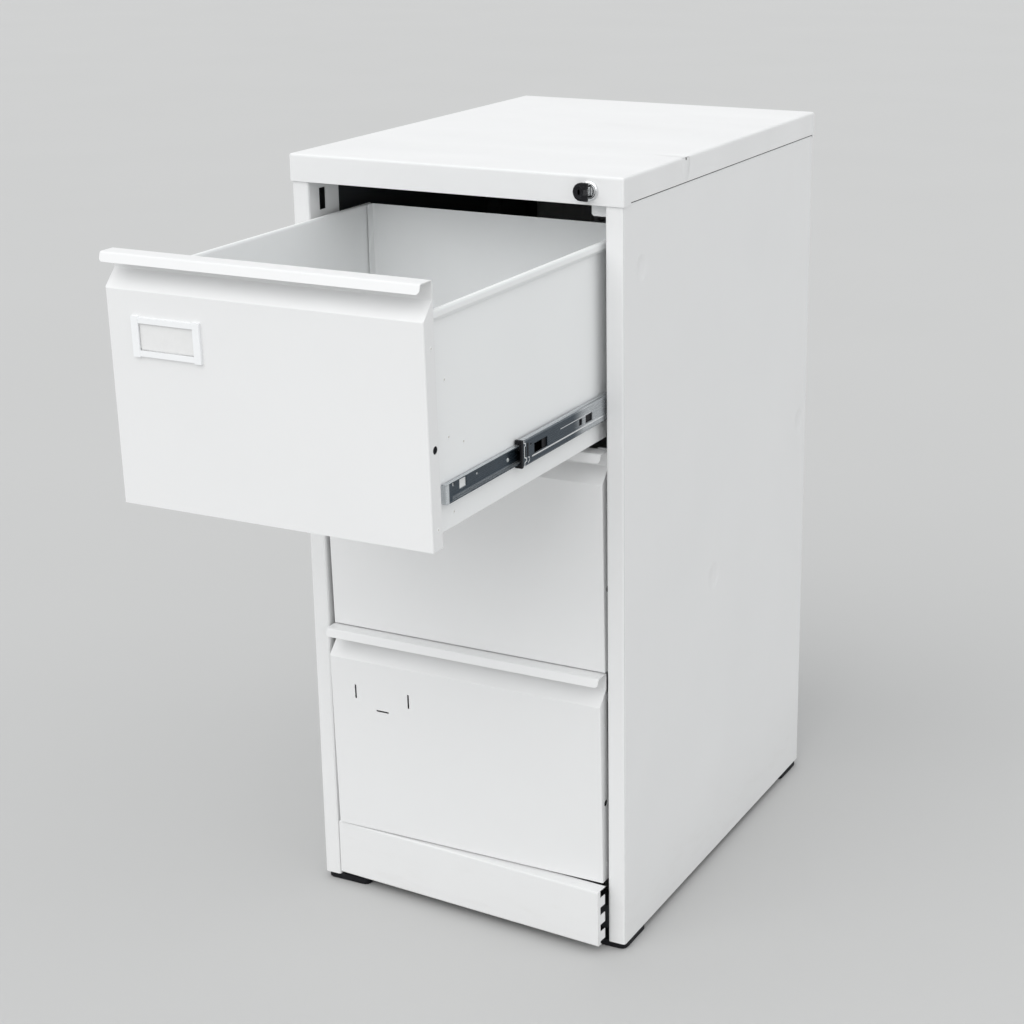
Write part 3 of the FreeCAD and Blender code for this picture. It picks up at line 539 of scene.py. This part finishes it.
class CABINET_OT_finishes(bpy.types.Operator):
    """Make the finishes and give them to the carried-over pieces"""
    bl_idname = "cabinet.finishes"
    bl_label = "Finishes"

    def execute(self, context):
        c = context.scene.cabinet_colours
        dust, shade_inside, highlight_and_pale_zinc = tuple(c.dust), tuple(c.shade_inside), tuple(c.highlight_and_pale_zinc)
        front = powder_coat("front_paint", tuple(c.front), dust, 0.34)
        body = powder_coat("body_paint", tuple(c.front), dust, 0.36, 0.5, shade_inside, side_knocks)
        rear = powder_coat("back_paint", tuple(c.front), dust, 0.36, 0.5)
        # Partly painted light: the boxes' paint is lighter than the fronts' to stand in for light
        # bounced inside the drawers.
        inside = powder_coat("box_paint", tuple(c.inside), dust, 0.40)
        # Painted shade: the weld pits take a darker colour, mixed from the dust colour, in place of
        # the shade in a crater.
        powder_coat("pit_shade_paint", blend(c.inside, dust, 0.75), dust, 0.5)
        cover = powder_coat("cover_paint", tuple(c.front), dust, 0.42, 0.0, shade_inside, cover_knocks)
        # Painted shade: the inner framing and the other pieces left over take the dark inside
        # colour in place of the shade inside the casing.
        inner_shade_paint = powder_coat("inner_shade_paint", shade_inside, dust, 0.55)
        strip = zinc_plate("slide_plate", tuple(c.slides), tuple(c.grease), highlight_and_pale_zinc, 0.20, "y")
        rails = []
        for drawer in DRAWERS:
            for part, tone in (("inner", inner_tone(drawer)), ("member", member_tone(drawer))):
                name = part + "_plate_" + drawer
                rails.append(("slide_" + part + "_" + drawer, zinc_plate(
                    name, tuple(c.slides), tuple(c.grease), highlight_and_pale_zinc, 0.20, "y", tone)))
        bar = zinc_plate("lock_plate", tuple(c.plated), tint(c.plated, 0.7), highlight_and_pale_zinc, 0.26, "z")
        bright_chrome("latch_plate", tint(c.chrome, 1.2))
        zinc_plate("stop_plate", tint(highlight_and_pale_zinc, 0.9), tint(highlight_and_pale_zinc, 0.7), highlight_and_pale_zinc, 0.3, "y")
        chrome = bright_chrome("lock_chrome", tuple(c.chrome))
        blade = bright_chrome("key_steel", tuple(c.chrome), eye_cover)
        black = moulded_black("black_moulding", tuple(c.plastic))
        white = moulded_white("white_moulding", tuple(c.holder))
        card_stock("blank_card", tuple(c.card))
        wear(*rails, ("drawer_front", front), ("drawer_", inside), ("slide_bumper", black),
             ("slide_balls", black), ("slide_", strip), ("feet_", black), ("key_bow", black),
             ("key_", blade), ("lock_housing", chrome), ("lock_plug", chrome),
             ("lock_bar_hooks", inside), ("lock_", bar), ("label_holder", white), ("plinth", body),
             ("side_panel", body), ("back_panel", rear), ("top_cover", cover), ("", inner_shade_paint))
        return {"FINISHED"}


class CABINET_OT_weld_marks(bpy.types.Operator):
    """Press spot weld marks into the drawer walls and front flanges"""
    bl_idname = "cabinet.weld_marks"
    bl_label = "Weld marks"

    def execute(self, context):
        radius = context.scene.cabinet_sizes.weld
        on_wall = ((57.0, -177.0), (88.0, -190.0), (51.0, -113.0), (64.0, -262.0))
        on_flange = ((14.5, -71.0), (18.5, -268.0))
        rounded = 60
        for drawer in DRAWERS:
            low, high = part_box("drawer_front_" + drawer)
            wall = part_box("drawer_side_right_" + drawer)[1].x - 5.7 * MM
            face = low.y + LIP_REACH
            rims, pits = bmesh.new(), bmesh.new()
            for side in (-1, 1):
                out = Vector((side, 0, 0))
                for spots, skin, size in ((on_wall, wall, radius),
                                          (on_flange, high.x, radius * 0.9)):
                    for y, z in spots:
                        spot = Vector((side * skin, face + y * MM, high.z + z * MM))
                        weld_mark(rims, pits, spot, out, size)
            body = "drawer_" + drawer
            put("weld_marks_" + drawer, rims, finish_of("box_paint"), body, rounded)
            # The pits' darker colour is painted shade.
            put("weld_pits_" + drawer, pits, finish_of("pit_shade_paint"), body, rounded)
        return {"FINISHED"}


def weld_mark(rims, pits, spot, out, radius):
    """A raised rim round a shallow pit, whose darker colour is painted shade."""
    sides = 20
    edge = (radius * 0.5, 0.06 * MM)
    rim = [(radius * 1.15, -0.02 * MM), (radius, 0.34 * MM), (radius * 0.74, 0.38 * MM), edge]
    turned(rims, rim, spot, out, sides)
    turned(pits, [edge, (radius * 0.25, 0.02 * MM), (0.0, 0.04 * MM)], spot, out, sides)


class CABINET_OT_slide_screws(bpy.types.Operator):
    """Set pan-head screws and a rivet in each drawer's slides"""
    bl_idname = "cabinet.slide_screws"
    bl_label = "Slide screws"

    def execute(self, context):
        radius = context.scene.cabinet_sizes.screw
        for drawer in DRAWERS:
            low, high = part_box("slide_inner_" + drawer)
            centre = (low.z + high.z) / 2
            web = high.x - 6.35 * MM
            bm = bmesh.new()
            for side in (-1, 1):
                out = Vector((side, 0, 0))
                for y, drop, share in ((144.5, 2.0, 0.72), (246.0, 0.0, 1.0), (396.0, 0.0, 1.0)):
                    spot = Vector((side * web, low.y + y * MM, centre - drop * MM))
                    pan_screw(bm, spot, out, radius * share)
            put("slide_screws_" + drawer, bm, finish_of("lock_plate"), "drawer_" + drawer)
        return {"FINISHED"}


def pan_screw(bm, spot, out, radius):
    """A low domed head with a shallow dimple."""
    depth = 0.5 * radius
    profile = [(radius, 0.0), (radius, depth * 0.45), (radius * 0.86, depth * 0.8),
               (radius * 0.5, depth), (radius * 0.32, depth * 0.95), (0.0, depth * 0.5)]
    turned(bm, profile, spot, out, 24)


class CABINET_OT_slide_latches(bpy.types.Operator):
    """Fit the spring latch, black strips of painted shade over its window and slit, and the rolled
    beads on each sliding member
    """
    bl_idname = "cabinet.slide_latches"
    bl_label = "Slide latches"

    def execute(self, context):
        latch = [(0.8, 15.2), (0.8, 12.6), (4.6, 11.4), (4.6, 9.0), (2.2, 7.6), (2.2, -4.6),
                 (6.8, -6.6), (6.8, -9.6), (2.6, -10.8), (2.6, -13.4), (0.8, -15.2)]
        hook = [(10.5, -6.2), (14.0, -7.0), (14.0, -11.0), (10.5, -12.6)]
        # The rolled beads take the bright latch chrome, not the slide's dark zinc: partly painted
        # highlight for the light caught on the web's steps.
        upper_bead, lower_bead = [(90.5, 5.5), (168.0, 5.5)], [(20.0, -7.6), (440.0, -7.6)]
        window, slit = [(10.4, 10.6), (10.4, -5.4)], [(4.6, 7.4), (4.6, -4.4)]
        shining = ((latch, 1.3, 0.35), (hook, 0.9, 0.3), (upper_bead, 0.8, 0.25),
                   (lower_bead, 1.7, 0.25))
        # Painted shade: black strips over the window and the slit stand in for the shade seen
        # through them.
        shade_strips = ((window, 3.2, 0.12), (slit, 2.4, 0.14))
        for drawer in DRAWERS:
            low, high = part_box("slide_member_" + drawer)
            centre = Vector((high.x, low.y, (low.z + high.z) / 2))
            bright, dark = bmesh.new(), bmesh.new()
            for side in (-1, 1):
                for bm, strips in ((bright, shining), (dark, shade_strips)):
                    for path, width, depth in strips:
                        ribbon(bm, centre, side, path, width * MM, depth * MM)
            body = "slides_" + drawer
            put("slide_latches_" + drawer, bright, finish_of("latch_plate"), body)
            # The black strips are painted shade.
            put("slide_window_shades_" + drawer, dark, finish_of("black_moulding"), body)
        return {"FINISHED"}


def ribbon(bm, centre, side, path, width, depth):
    """A flat strip along a path on a slide's web, standing out by its depth.

    The path gives its points as (y, z) in millimetres from the middle of the member's front end."""
    sunk = 0.2 * MM
    widest_mitre = 0.5
    points = [Vector((y, z)) * MM for y, z in path]
    left, right = [], []
    for i, point in enumerate(points):
        ahead = (points[i + 1] - point).normalized() if i + 1 < len(points) else None
        behind = (point - points[i - 1]).normalized() if i else ahead
        way = ((ahead or behind) + behind).normalized()
        normal = Vector((-way.y, way.x)) * (width / 2 / max(widest_mitre, way.dot(behind)))
        left.append(point + normal)
        right.append(point - normal)
    outline = left + right[::-1]
    count = len(points)
    layers = []
    for x in (-sunk, depth):
        layers.append([bm.verts.new((side * (centre.x + x), centre.y + p.x, centre.z + p.y))
                       for p in outline])
    lower, upper = layers
    total = len(outline)
    for i in range(total):
        bm.faces.new((lower[i], lower[(i + 1) % total], upper[(i + 1) % total], upper[i]))
    for layer in layers:
        for i in range(count - 1):
            bm.faces.new((layer[i], layer[i + 1], layer[total - 2 - i], layer[total - 1 - i]))


class CABINET_OT_slide_stops(bpy.types.Operator):
    """Fold a bright stop over the front end of each drawer's slides"""
    bl_idname = "cabinet.slide_stops"
    bl_label = "Slide stops"

    def execute(self, context):
        fold = [(-6.9, -0.45), (-1.2, -0.45), (-0.25, 0.5), (-0.25, 5.6), (-0.7, 5.6), (-0.7, 0.3),
                (-6.9, 0.3)]
        caps = ((0, 1, 5, 6), (1, 2, 5, 5), (2, 3, 4, 5))
        inset = 0.6 * MM
        for drawer in DRAWERS:
            low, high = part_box("slide_inner_" + drawer)
            bm = bmesh.new()
            for side in (-1, 1):
                layers = []
                for z in (low.z + inset, high.z - inset):
                    layers.append([bm.verts.new((side * (high.x + x * MM), low.y + y * MM, z))
                                   for x, y in fold])
                lower, upper = layers
                for i in range(len(fold)):
                    k = (i + 1) % len(fold)
                    bm.faces.new((lower[i], lower[k], upper[k], upper[i]))
                for layer in layers:
                    for cap in caps:
                        bm.faces.new(list(dict.fromkeys(layer[corner] for corner in cap)))
            put("slide_stops_" + drawer, bm, finish_of("stop_plate"), "drawer_" + drawer)
        return {"FINISHED"}


class CABINET_OT_lock_rings(bpy.types.Operator):
    """Turn a ridge on the lock's bezel and one on its plug"""
    bl_idname = "cabinet.lock_rings"
    bl_label = "Lock rings"

    def execute(self, context):
        low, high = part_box("lock_plug")
        middle = Vector(((low.x + high.x) / 2, 0, (low.z + high.z) / 2))
        out = Vector((0, -1, 0))
        rings = (("lock_ring_bezel", "lock_housing", "cabinet", 6.7, 8.7),
                 ("lock_ring_plug", "lock_plug", "lock_plug", 4.4, 5.5))
        for name, node, body, inner, outer in rings:
            face = Vector((middle.x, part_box(node)[0].y, middle.z))
            bm = bmesh.new()
            profile = [(inner, -0.1), (inner + 0.15, 0.28), (inner + 0.45, 0.4),
                       (outer - 0.45, 0.4), (outer - 0.15, 0.28), (outer, -0.1)]
            turned(bm, [(r * MM, y * MM) for r, y in profile], face, out, 40)
            put(name, bm, finish_of("lock_chrome"), body)
        return {"FINISHED"}


class CABINET_OT_back_rivets(bpy.types.Operator):
    """Set blind rivets down both edges of the back panel"""
    bl_idname = "cabinet.back_rivets"
    bl_label = "Back rivets"

    def execute(self, context):
        low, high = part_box("back_panel")
        radius = context.scene.cabinet_sizes.rivet
        lowest, highest = low.z + 45 * MM, high.z - 65 * MM
        from_edge = 16 * MM
        count = 6
        profile = [(radius, -0.1 * MM), (radius, 0.2 * MM), (radius * 0.8, 0.62 * MM),
                   (radius * 0.45, 0.8 * MM), (radius * 0.4, 0.4 * MM), (0.0, 0.35 * MM)]
        bm = bmesh.new()
        for side in (-1, 1):
            for k in range(count):
                z = lowest + (highest - lowest) * k / (count - 1)
                spot = Vector((side * (high.x - from_edge), high.y, z))
                turned(bm, profile, spot, Vector((0, 1, 0)), 20)
        put("back_rivets", bm, finish_of("lock_plate"), "cabinet")
        return {"FINISHED"}


class CABINET_OT_key_grip(bpy.types.Operator):
    """Raise a soft-edged pad on each face of the key's grip"""
    bl_idname = "cabinet.key_grip"
    bl_label = "Key grip"

    def execute(self, context):
        low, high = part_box("key_bow")
        middle = Vector((low.x + 8.4 * MM, 0, (low.z + high.z) / 2))
        steps = ((5.4, 8.0, -0.1), (5.4, 8.0, 0.05), (5.1, 7.7, 0.22), (4.5, 7.1, 0.25),
                 (4.1, 6.7, 0.05), (1.5, 3.2, 0.0))
        sides = 32
        roundness = 0.7
        bm = bmesh.new()
        for face, out in ((low.y, -1), (high.y, 1)):
            rings = []
            for half_width, half_height, stand in steps:
                ring = []
                for k in range(sides):
                    turn = 2 * math.pi * k / sides
                    across, up = [math.copysign(abs(v) ** roundness, v)
                                  for v in (math.cos(turn), math.sin(turn))]
                    ring.append(bm.verts.new((
                        middle.x + half_width * MM * across, face + out * stand * MM,
                        middle.z + half_height * MM * up)))
                rings.append(ring)
            for a, b in zip(rings, rings[1:]):
                for k in range(sides):
                    bm.faces.new((a[k], a[(k + 1) % sides], b[(k + 1) % sides], b[k]))
            bm.faces.new(rings[-1])
        put("key_grip", bm, finish_of("black_moulding"), "key_bow")
        return {"FINISHED"}


class CABINET_OT_hole_shades(bpy.types.Operator):
    """Close the hole in each front's side flange with a black disc, painted shade in place of the
    dark space behind the hole
    """
    bl_idname = "cabinet.flange_plugs"
    bl_label = "Flange plugs"

    def execute(self, context):
        # Painted shade: a black disc sits in each hole in place of the shade behind it.
        profile = [(r * MM, y * MM) for r, y in (
            (0.0, -1.6), (4.1, -1.6), (4.5, 0.9), (3.7, 1.1), (3.4, 0.2), (0.0, 0.1))]
        behind_face, below_lip, sunk = 17.5 * MM, 180 * MM, 1.6 * MM
        for drawer in DRAWERS:
            low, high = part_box("drawer_front_" + drawer)
            bm = bmesh.new()
            for side in (-1, 1):
                spot = Vector((side * (high.x - sunk), low.y + LIP_REACH + behind_face,
                               high.z - below_lip))
                turned(bm, profile, spot, Vector((side, 0, 0)), 24)
            put("flange_plugs_" + drawer, bm, finish_of("black_moulding"), "drawer_" + drawer)
        return {"FINISHED"}


class CABINET_OT_label(bpy.types.Operator):
    """Slide a blank card into the label holder"""
    bl_idname = "cabinet.label"
    bl_label = "Label card"

    def execute(self, context):
        low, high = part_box("label_holder_top")
        front_low, front_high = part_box("drawer_front_top")
        centre = Vector(((low.x + high.x) / 2, 0, (low.z + high.z) / 2))
        half_width, half_height = 40.5 * MM, 17.0 * MM
        columns, rows = 16, 8
        card_thickness = 0.25 * MM
        greatest_bow = 0.25 * MM
        bm = bmesh.new()
        grid = []
        for i in range(columns + 1):
            line = []
            for k in range(rows + 1):
                u, v = i / columns * 2 - 1, k / rows * 2 - 1
                bow = greatest_bow * (1 - u * u) * (1 - 0.4 * v)
                line.append(bm.verts.new((u * half_width, -bow, v * half_height)))
            grid.append(line)
        for a, b in zip(grid, grid[1:]):
            for k in range(rows):
                bm.faces.new((a[k], b[k], b[k + 1], a[k + 1]))
        card = put("label_card", bm, finish_of("blank_card"), "drawer_top")
        card.modifiers.new("thickness", "SOLIDIFY").thickness = card_thickness
        slope = FRONT_LEAN / FRONT_FALL
        top_of_lean = front_high.z - 41 * MM
        surface = front_low.y + 1.5 * MM + FRONT_LEAN + slope * (top_of_lean - centre.z)
        before = Vector((centre.x, surface - 0.55 * MM, centre.z))
        card.matrix_world = Matrix.Translation(before) @ Matrix.Rotation(math.atan(slope), 4, "X")
        return {"FINISHED"}


class CABINET_OT_stage(bpy.types.Operator):
    """Lay the floor, light it softly and set the camera"""
    bl_idname = "cabinet.stage"
    bl_label = "Studio"

    def execute(self, context):
        lay_floor()
        light_studio(context.scene)
        set_camera(context.scene)
        return {"FINISHED"}


def lay_floor():
    """A plain pale floor that reaches out of every view."""
    bm = bmesh.new()
    bmesh.ops.create_grid(bm, x_segments=2, y_segments=2, size=40)
    mesh = bpy.data.meshes.new("studio_floor")
    bm.to_mesh(mesh)
    bm.free()
    floor = bpy.data.objects.new("studio_floor", mesh)
    bpy.context.scene.collection.objects.link(floor)
    finish = Finish("floor_paint")
    darker, lighter = (0.545, 0.545, 0.54, 1), (0.565, 0.565, 0.56, 1)
    finish.vary("Base Color", finish.mix(finish.noise(1.3, 3.0, 0.5), darker, lighter))
    finish.set(Roughness=0.9)
    mesh.materials.append(finish.material)


def light_studio(scene):
    """An even sky, a white background for the camera and the glossy parts, and three soft lamps."""
    world = bpy.data.worlds.new("studio_world")
    world.use_nodes = True
    scene.world = world
    tree = world.node_tree
    sky = tree.nodes["Background"]
    sky.inputs["Color"].default_value = (0.965, 0.985, 1.0, 1)
    sky.inputs["Strength"].default_value = 0.58
    seen = tree.nodes.new("ShaderNodeBackground")
    seen.inputs["Color"].default_value = WHITE
    seen.inputs["Strength"].default_value = 0.96
    path = tree.nodes.new("ShaderNodeLightPath")
    ray = path.outputs["Is Camera Ray"]
    for other in ("Is Glossy Ray", "Is Transmission Ray"):
        either = tree.nodes.new("ShaderNodeMath")
        either.operation = "MAXIMUM"
        tree.links.new(ray, either.inputs[0])
        tree.links.new(path.outputs[other], either.inputs[1])
        ray = either.outputs[0]
    pick = tree.nodes.new("ShaderNodeMixShader")
    tree.links.new(ray, pick.inputs[0])
    tree.links.new(sky.outputs[0], pick.inputs[1])
    tree.links.new(seen.outputs[0], pick.inputs[2])
    tree.links.new(pick.outputs[0], tree.nodes["World Output"].inputs["Surface"])
    suns = (("key", (-0.25, -1.0, 0.95), 68.0, 1.40),
            ("overhead", (0.1, -0.2, 1.0), 80.0, 0.34),
            ("side", (1.0, -0.35, 0.5), 90.0, 0.71))
    for name, where, spread, power in suns:
        light = bpy.data.lights.new(name, "SUN")
        light.angle = math.radians(spread)
        light.energy = power
        lamp = bpy.data.objects.new(name, light)
        scene.collection.objects.link(lamp)
        lamp.location = Vector(where) * 4
        lamp.rotation_euler = (-Vector(where)).to_track_quat("-Z", "Y").to_euler()


def set_camera(scene):
    """A camera at the chosen eye, with its angles taken in the order turn, pitch, roll."""
    view = scene.cabinet_view
    data = bpy.data.cameras.new("camera")
    data.sensor_width = 36
    data.lens = view.lens
    data.shift_x = view.across
    data.shift_y = view.up
    data.clip_end = 120
    camera = bpy.data.objects.new("camera", data)
    scene.collection.objects.link(camera)
    aim = (Matrix.Rotation(view.turn, 4, "Z") @ Matrix.Rotation(math.pi / 2 + view.pitch, 4, "X")
           @ Matrix.Rotation(view.roll, 4, "Z"))
    place = Vector(view.eye) + Vector((0, scene.cabinet_sizes.shift, 0))
    camera.matrix_world = Matrix.Translation(place) @ aim
    scene.camera = camera
    scene.view_settings.view_transform = "Standard"


# Panel and registration

STEPS = (CABINET_OT_finishes, CABINET_OT_weld_marks, CABINET_OT_slide_screws,
         CABINET_OT_slide_latches, CABINET_OT_slide_stops, CABINET_OT_hole_shades,
         CABINET_OT_lock_rings, CABINET_OT_key_grip, CABINET_OT_back_rivets, CABINET_OT_label,
         CABINET_OT_stage)


class CABINET_PT_dressing(bpy.types.Panel):
    """Lists the cabinet's settings and steps"""
    bl_idname = "CABINET_PT_dressing"
    bl_label = "Filing cabinet"
    bl_space_type = "VIEW_3D"
    bl_region_type = "UI"
    bl_category = "Cabinet"

    def draw(self, context):
        for setting in GROUPS:
            group = getattr(context.scene, setting)
            box = self.layout.box()
            for name in group.__annotations__:
                box.prop(group, name)
        for step in STEPS:
            self.layout.operator(step.bl_idname)


GROUPS = {"cabinet_colours": CabinetColours, "cabinet_sizes": CabinetSizes,
          "cabinet_view": CabinetView}


def register():
    for kind in (*GROUPS.values(), *STEPS, CABINET_PT_dressing):
        bpy.utils.register_class(kind)
    for name, group in GROUPS.items():
        setattr(bpy.types.Scene, name, bpy.props.PointerProperty(type=group))


def unregister():
    for name in GROUPS:
        delattr(bpy.types.Scene, name)
    for kind in reversed((*GROUPS.values(), *STEPS, CABINET_PT_dressing)):
        bpy.utils.unregister_class(kind)


def main():
    register()
    bpy.ops.cabinet.finishes()
    bpy.ops.cabinet.weld_marks()
    bpy.ops.cabinet.slide_screws()
    bpy.ops.cabinet.slide_latches()
    bpy.ops.cabinet.slide_stops()
    bpy.ops.cabinet.flange_plugs()
    bpy.ops.cabinet.lock_rings()
    bpy.ops.cabinet.key_grip()
    bpy.ops.cabinet.back_rivets()
    bpy.ops.cabinet.label()
    bpy.ops.cabinet.stage()


if __name__ == "__main__":
    main()
